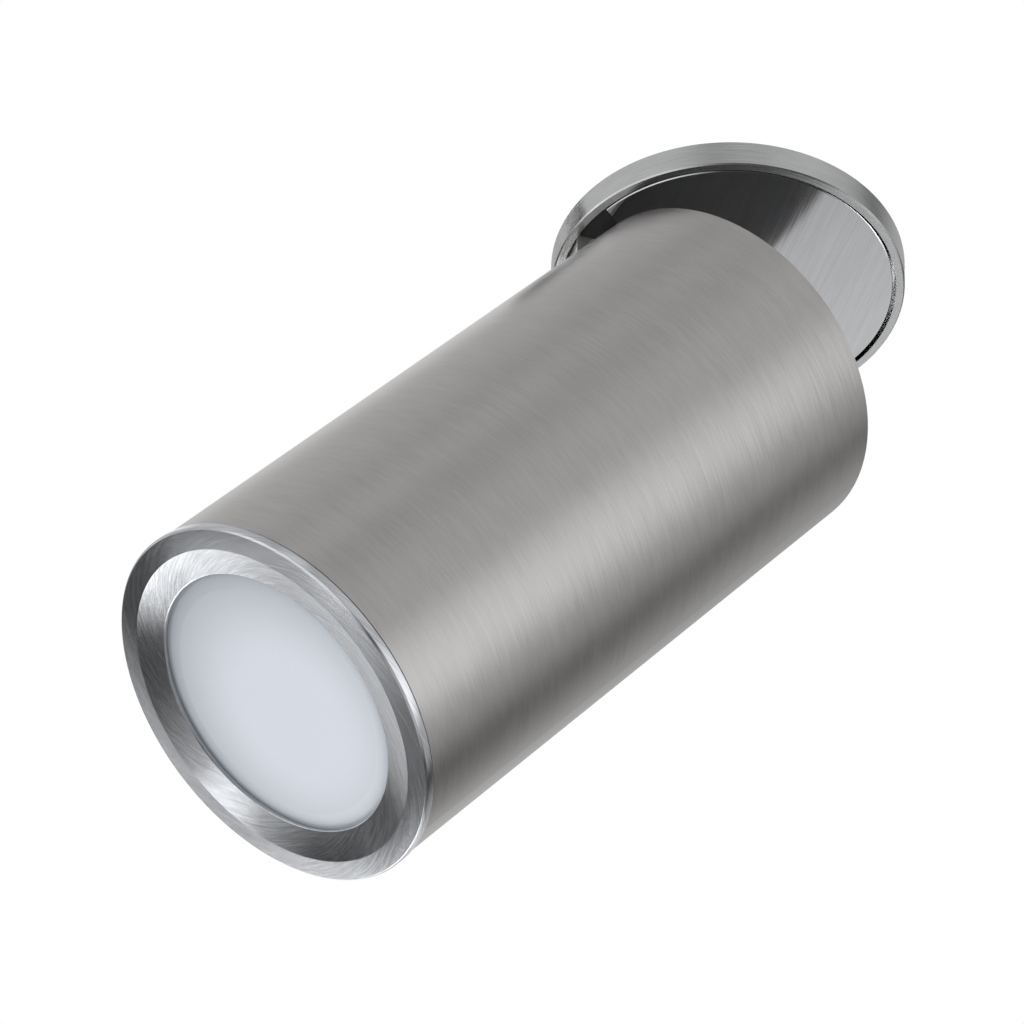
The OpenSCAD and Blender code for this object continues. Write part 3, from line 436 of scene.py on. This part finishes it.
def rounded(corners):
    """A closed profile of (radius, depth, round) in mm, as points, with its corners rounded."""
    points = []
    for i, (radius, depth, size) in enumerate(corners):
        corner = Vector((radius, depth))
        if not size:
            points.append(corner)
            continue
        sides = [Vector(corners[j][:2]) - corner for j in (i - 1, (i + 1) % len(corners))]
        half = (math.pi - sides[0].angle(sides[1])) / 2
        first, last = (corner + side.normalized() * size * math.tan(half) for side in sides)
        for step in range(ROUND_STEPS + 1):
            share = step / ROUND_STEPS
            points.append(first.lerp(corner, share).lerp(corner.lerp(last, share), share))
    return points


def turned_piece(name, corners, finish, replaced):
    """Spins a profile round the lamp's axis. Depths count back from the bezel's front."""
    bm = bmesh.new()
    ring = [bm.verts.new((p.x * MM, 0, LAMP_FRONT + p.y * MM)) for p in rounded(corners)]
    reaches_axis = any(vert.co.x == 0 for vert in ring)
    following = ring[1:] if reaches_axis else ring[1:] + ring[:1]
    edges = [bm.edges.new(pair) for pair in zip(ring, following)]
    bmesh.ops.spin(
        bm, geom=ring + edges, cent=(0, 0, 0), axis=(0, 0, 1), angle=math.tau,
        steps=SPIN_STEPS, use_merge=True,
    )
    bmesh.ops.remove_doubles(bm, verts=bm.verts, dist=SAME_PLACE)
    bmesh.ops.transform(bm, matrix=IN_LAMP, verts=bm.verts)
    piece = new_piece(name, bm, finish, "lamp_head")
    shade_by_angle(piece, degrees=35)
    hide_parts(replaced)


print("a profile is spun in", SPIN_STEPS, "steps")

# %% [markdown]
# ## Bezel
# The bezel is a turned ring on the tube's front. A shallow cone rises from a rolled lip round the
# lens to a flat band, a small chamfer breaks the rim, and a groove marks the seam to the tube. It
# could be cut out of cylinders with booleans, but a profile keeps each depth and round in one line.

# %% Bezel
# All of it in mm. First come the lip in the opening, the cone up to the band, and the rim
LIP_R, OPENING_R, BAND_R, RIM_R = 28.65, 29.0, 34.8, 39.3
LIP_FRONT, LIP_BACK, BAND_DEPTH, FACE_DEPTH, CHAMFER = 1.7, 2.3, 0.38, 0.55, 0.35
# Behind the rim are the groove of the seam, the spigot in the tube, and the seat of the lens
SEAM_R, SEAM_FRONT, SEAM_BACK = 38.4, 2.6, 3.0
SPIGOT_R, BORE_R, SPIGOT_END, SEAT_DEPTH = 37.3, 35.5, 9.0, 3.1
EDGE_ROUND, SPIGOT_ROUND, BAND_ROUND, LIP_ROUNDS = 0.1, 0.2, 0.4, (0.3, 0.35)

turned_piece(
    "spun_bezel",
    [
        (OPENING_R, LIP_FRONT, 0),
        (BAND_R, BAND_DEPTH, BAND_ROUND),
        (RIM_R - CHAMFER, FACE_DEPTH, EDGE_ROUND),
        (RIM_R, FACE_DEPTH + CHAMFER, EDGE_ROUND),
        (RIM_R, SEAM_FRONT, EDGE_ROUND),
        (SEAM_R, SEAM_FRONT, 0),
        (SEAM_R, SEAM_BACK, 0),
        (SPIGOT_R, SEAM_BACK, 0),
        (SPIGOT_R, SPIGOT_END, SPIGOT_ROUND),
        (BORE_R, SPIGOT_END, SPIGOT_ROUND),
        (BORE_R, SEAT_DEPTH, 0),
        (OPENING_R, SEAT_DEPTH, 0),
        (LIP_R, LIP_BACK, LIP_ROUNDS[0]),
        (LIP_R, LIP_FRONT, LIP_ROUNDS[1]),
    ],
    "brushed_bezel", "bezel",
)

# %% [markdown]
# ## Lens
# The lens is moulded, so it's slightly crowned, and a soft shoulder leads down to the flange that
# sits behind the bezel's lip. A subdivided disc could be pulled into this form, but the same spin
# makes it from a profile that starts and ends on the axis.

# %% Lens
# In mm again, from the middle of the crown out over the shoulder to its foot on the flange
SLOPE_R, SHOULDER_R, FOOT_R, FLANGE_R, LENS_R = 14, 25.2, 28.1, 28.48, 35.4
CROWN_DEPTH, SLOPE_DEPTH, SHOULDER_DEPTH, FOOT_DEPTH, LENS_BACK = 2.4, 2.42, 2.48, 2.95, 5.3
SLOPE_ROUND, SHOULDER_ROUND, FOOT_ROUND = 6, 2.5, 0.5

turned_piece(
    "crowned_lens",
    [
        (0, CROWN_DEPTH, 0),
        (SLOPE_R, SLOPE_DEPTH, SLOPE_ROUND),
        (SHOULDER_R, SHOULDER_DEPTH, SHOULDER_ROUND),
        (FOOT_R, FOOT_DEPTH, FOOT_ROUND),
        (FLANGE_R, SEAT_DEPTH, 0),
        (LENS_R, SEAT_DEPTH, 0),
        (LENS_R, LENS_BACK, 0),
        (0, LENS_BACK, 0),
    ],
    "frosted_lens", "diffuser",
)

# %% [markdown]
# ## Clip springs
# Each ceiling clip is pushed down by a torsion spring: a coil of hard wire round the clip's pin,
# one leg on the can's bracket and one along the arm. A curve with a round bevel would do, but the
# wire's end faces and its even facets are easier to keep with a spin. A ring of wire is extruded
# for the first leg, spun round the pin with a step along it for the coil, and extruded again.
# The solid in the CAD model is the same path with six sides. When a clip folds, the coil winds up
# a little.

# %% Clip springs
WIRE_R, COIL_R, PITCH = 0.5 * MM, 2.1 * MM, 1.5 * MM
WHOLE_TURNS, ARM_ANGLE = 4, 125.16
SWEEP = math.radians(360 * WHOLE_TURNS + ARM_ANGLE)
COIL_W = PITCH * SWEEP / math.tau
FIXED_LEG, MOVING_LEG = 7 * MM, 12 * MM
PIN_X, PIN_Z = 30.35 * MM, 18 * MM
COIL_STEPS, WIRE_SIDES = 104, 12
HALF_TURN = Matrix.Rotation(math.pi, 3, "Z")


def drawn_on(bm, ring, offset):
    """Extrudes the ring of wire along offset and returns the new ring."""
    made = bmesh.ops.extrude_edge_only(bm, edges=ring)["geom"]
    verts = [g for g in made if isinstance(g, bmesh.types.BMVert)]
    edges = [g for g in made if isinstance(g, bmesh.types.BMEdge)]
    bmesh.ops.translate(bm, verts=verts, vec=offset)
    return [edge for edge in edges if all(vert in verts for vert in edge.verts)]


def clip_spring(side):
    bm = bmesh.new()
    bmesh.ops.create_circle(bm, segments=WIRE_SIDES, radius=WIRE_R)
    first_leg = Vector((0, 0, FIXED_LEG))
    start = Vector((-COIL_R, -COIL_W / 2, 0))
    bmesh.ops.translate(bm, verts=bm.verts, vec=start - first_leg)
    ring = drawn_on(bm, list(bm.edges), first_leg)
    turned = bmesh.ops.spin(
        bm, geom=ring, cent=(0, 0, 0), axis=(0, 1, 0), dvec=(0, COIL_W / COIL_STEPS, 0),
        angle=SWEEP, steps=COIL_STEPS, use_merge=False,
    )["geom_last"]
    ring = [g for g in turned if isinstance(g, bmesh.types.BMEdge)]
    along_arm = Matrix.Rotation(SWEEP, 3, "Y") @ Vector((0, 0, 1))
    drawn_on(bm, ring, along_arm * MOVING_LEG)
    bmesh.ops.remove_doubles(bm, verts=bm.verts, dist=SAME_PLACE)
    bmesh.ops.holes_fill(bm, edges=[e for e in bm.edges if e.is_boundary], sides=WIRE_SIDES)
    bmesh.ops.translate(bm, verts=bm.verts, vec=(PIN_X, 0, PIN_Z))
    if side == "left":
        bmesh.ops.rotate(bm, verts=bm.verts, cent=(0, 0, 0), matrix=HALF_TURN)
    name = "clip_spring_" + side
    piece = new_piece("wound_" + name, bm, "spring_steel")
    shade_by_angle(piece, degrees=40)
    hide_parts(name)
    sign, half = (1 if side == "right" else -1), COIL_W / 2 - WIRE_R
    sign * PIN_X
    -sign * half
    sign * PIN_X
    sign * half
    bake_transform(piece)


for side in ("left", "right"):
    clip_spring(side)

# %% [markdown]
# ## Studio
# Product photographs of metal are mostly photographs of what the metal mirrors. The surroundings
# are white to the camera, as in the photograph. What the metal mirrors is a dim room with soft
# patches of light: wide ones for the walls and the window, and small ones for the single reflectors
# whose images lie on the disc and the bezel. Where each patch lies and how bright it is was fitted
# to the tones of the photograph, and then rounded. Matt surfaces get an even light instead.
# An image of a studio would do this too, but patches on the world's own directions are easier to
# move.

# %% World
ROOM_GREY, ROOM_WHITE = 0.06, 0.78


def cleared(owner):
    """The empty node tree of a world or a material."""
    owner.use_nodes = True
    owner.node_tree.nodes.clear()
    return Wiring(owner.node_tree)


world = bpy.data.worlds.new("studio")
bpy.context.scene.world = world
sky = cleared(world)
rays = sky.node("ShaderNodeLightPath").outputs
direction = sky.node("ShaderNodeTexCoord").outputs["Generated"]


def toward(azimuth, elevation, narrow, wide):
    """1 where a ray points within narrow degrees of a direction, 0 past wide degrees."""
    a, e = math.radians(azimuth), math.radians(elevation)
    aim = (math.cos(a) * math.cos(e), math.sin(a) * math.cos(e), math.sin(e))
    cosines = [math.cos(math.radians(angle)) for angle in (wide, narrow)]
    return Term(sky, sky.vector("DOT_PRODUCT", direction, aim)).between(*cosines)


# Azimuth from +X, elevation, angle of full strength, angle where it ends, and brightness
PATCHES = [
    # The room: a light wall behind, a window on the right, soft banks above, left and underneath
    (84, -6, 15, 45, 0.76), (-33, -8, 8, 30, 1.07), (-8, -1, 8, 30, 0.48), (173, 49, 25, 65, 0.6),
    (-54, 36, 15, 45, 0.52), (51, 34, 15, 45, 0.45), (-155, -19, 15, 45, 1.0),
    (-89, -76, 8, 30, 0.55), (-102, 50, 4, 14, 0.33), (-59, 25, 4, 20, 0.13), (80, 58, 4, 20, 0.48),
    (146, 12, 4, 14, 0.75),
    # Small bright reflectors for the disc, then for the bezel
    (62, -36, 4, 16, 0.58), (89, -53, 12, 34, 0.14), (140, 21, 2, 12, 0.5), (114, 11, 4, 14, 0.7),
    (95, -25, 4, 16, 4.0), (100, -40, 4, 16, 2.1), (100, -35, 4, 16, 1.4), (105, -35, 2, 8, 1.3),
    (95, -10, 4, 16, 1.0), (115, -15, 2, 8, 1.0), (120, -13, 2, 8, 0.7), (140, -30, 2, 8, 0.4),
    (150, -30, 4, 16, 0.5), (160, -35, 4, 16, 0.5), (161, -35, 2, 8, 2.9), (170, -40, 2, 8, 1.1),
]
mirrored = ROOM_GREY
for azimuth, elevation, narrow, wide, amount in PATCHES:
    mirrored = toward(azimuth, elevation, narrow, wide) * amount + mirrored
seen = Term(sky, rays["Is Camera Ray"]) + rays["Is Transmission Ray"]
glossy = Term(sky, rays["Is Glossy Ray"])
strength = seen + (1 - seen) * (glossy * mirrored + (1 - glossy) * ROOM_WHITE)
background = sky.node("ShaderNodeBackground", {"Color": (1, 1, 1, 1), "Strength": strength})
sky.node("ShaderNodeOutputWorld", {0: background.outputs[0]})
print("world nodes:", len(world.node_tree.nodes))

# %% [markdown]
# ## Lamps
# Two soft boxes shape the matt surfaces: a tall one to the right, and a wide one below, to the
# right of the camera. The metals don't mirror them, because the patches above do that work. Their
# powers are small, because the scene is a quarter of a metre across.

# %% Lamps
LIT_SPOT = Vector((-0.05, 0, -0.08))


def soft_box(name, towards, distance, size, radiance):
    """An area lamp that faces the light's middle. Radiance is how bright its own face is."""
    light = bpy.data.lights.new(name, "AREA")
    light.shape = "RECTANGLE"
    light.size, light.size_y = size
    light.energy = radiance * math.pi * size[0] * size[1]
    lamp = bpy.data.objects.new(name, light)
    bpy.context.scene.collection.objects.link(lamp)
    spot = LIT_SPOT + Vector(towards).normalized() * distance
    lamp.location = spot
    lamp.rotation_euler = (spot - LIT_SPOT).to_track_quat("Z", "Y").to_euler()
    lamp.visible_camera = lamp.visible_glossy = False
    print(f"{name}: {light.energy:.2f} W")


soft_box("side_box", (0.93, -0.36, 0.06), distance=0.7, size=(0.2, 0.7), radiance=1.3)
soft_box("low_box", (0.35, -0.45, -0.82), distance=1.2, size=(0.9, 0.9), radiance=2.0)

# %% [markdown]
# ## Floor and ceiling
# The floor is a plain pale sheet far below. The light hangs in a ceiling, and from the
# photograph's side only what is below that ceiling is seen, so a white board with a round hole
# stands in for it. It shows its underside only: seen from above it's clear, so that the clips and
# the can can be looked at. Both are stage, not part of the light.

# %% Floor and ceiling
FLOOR_Z, FLOOR_HALF = -1.3, 6
CUTOUT_R, BOARD_R, BOARD_GAP, BOARD_SIDES = 34 * MM, 110 * MM, 0.1 * MM, 96


def stage_piece(name, bm, material):
    mesh = bpy.data.meshes.new(name)
    bm.to_mesh(mesh)
    bm.free()
    mesh.materials.append(material)
    piece = bpy.data.objects.new(name, mesh)
    bpy.context.scene.collection.objects.link(piece)
    print("stage:", name)


def white_stage(name, one_sided):
    """White where it's looked at, and clear to light. A one-sided sheet's back is clear too."""
    material = bpy.data.materials.new(name)
    made = cleared(material)
    path = made.node("ShaderNodeLightPath").outputs
    shown = Term(made, path["Is Camera Ray"]) + path["Is Transmission Ray"]
    share = shown.maths("MINIMUM", shown, 1.0)
    if one_sided:
        back = Term(made, made.node("ShaderNodeNewGeometry").outputs["Backfacing"])
        share = share * (1 - back)
    clear = made.node("ShaderNodeBsdfTransparent").outputs[0]
    white = made.node("ShaderNodeEmission", {"Color": (1, 1, 1, 1), "Strength": 1.0}).outputs[0]
    surface = made.node("ShaderNodeMixShader", {0: share, 1: clear, 2: white}).outputs[0]
    made.node("ShaderNodeOutputMaterial", {0: surface})
    return material


bm = bmesh.new()
bmesh.ops.create_grid(bm, x_segments=1, y_segments=1, size=FLOOR_HALF)
bmesh.ops.translate(bm, verts=bm.verts, vec=(0, 0, FLOOR_Z))
stage_piece("studio_floor", bm, white_stage("pale_floor", one_sided=False))

bm = bmesh.new()
bmesh.ops.create_circle(bm, segments=BOARD_SIDES, radius=CUTOUT_R)
made = bmesh.ops.extrude_edge_only(bm, edges=list(bm.edges))["geom"]
rim = [g for g in made if isinstance(g, bmesh.types.BMVert)]
bmesh.ops.scale(bm, verts=rim, vec=(BOARD_R / CUTOUT_R,) * 2 + (1,))
bmesh.ops.translate(bm, verts=bm.verts, vec=(0, 0, BOARD_GAP))
bm.normal_update()
if bm.faces[:][0].normal.z > 0:
    bmesh.ops.reverse_faces(bm, faces=bm.faces)
stage_piece("ceiling_board", bm, white_stage("ceiling_white", one_sided=True))

# %% [markdown]
# ## View settings
# The view settings stay plain, so a colour renders about as it is written.

# %% View settings
bpy.context.scene.view_settings.view_transform = "Standard"
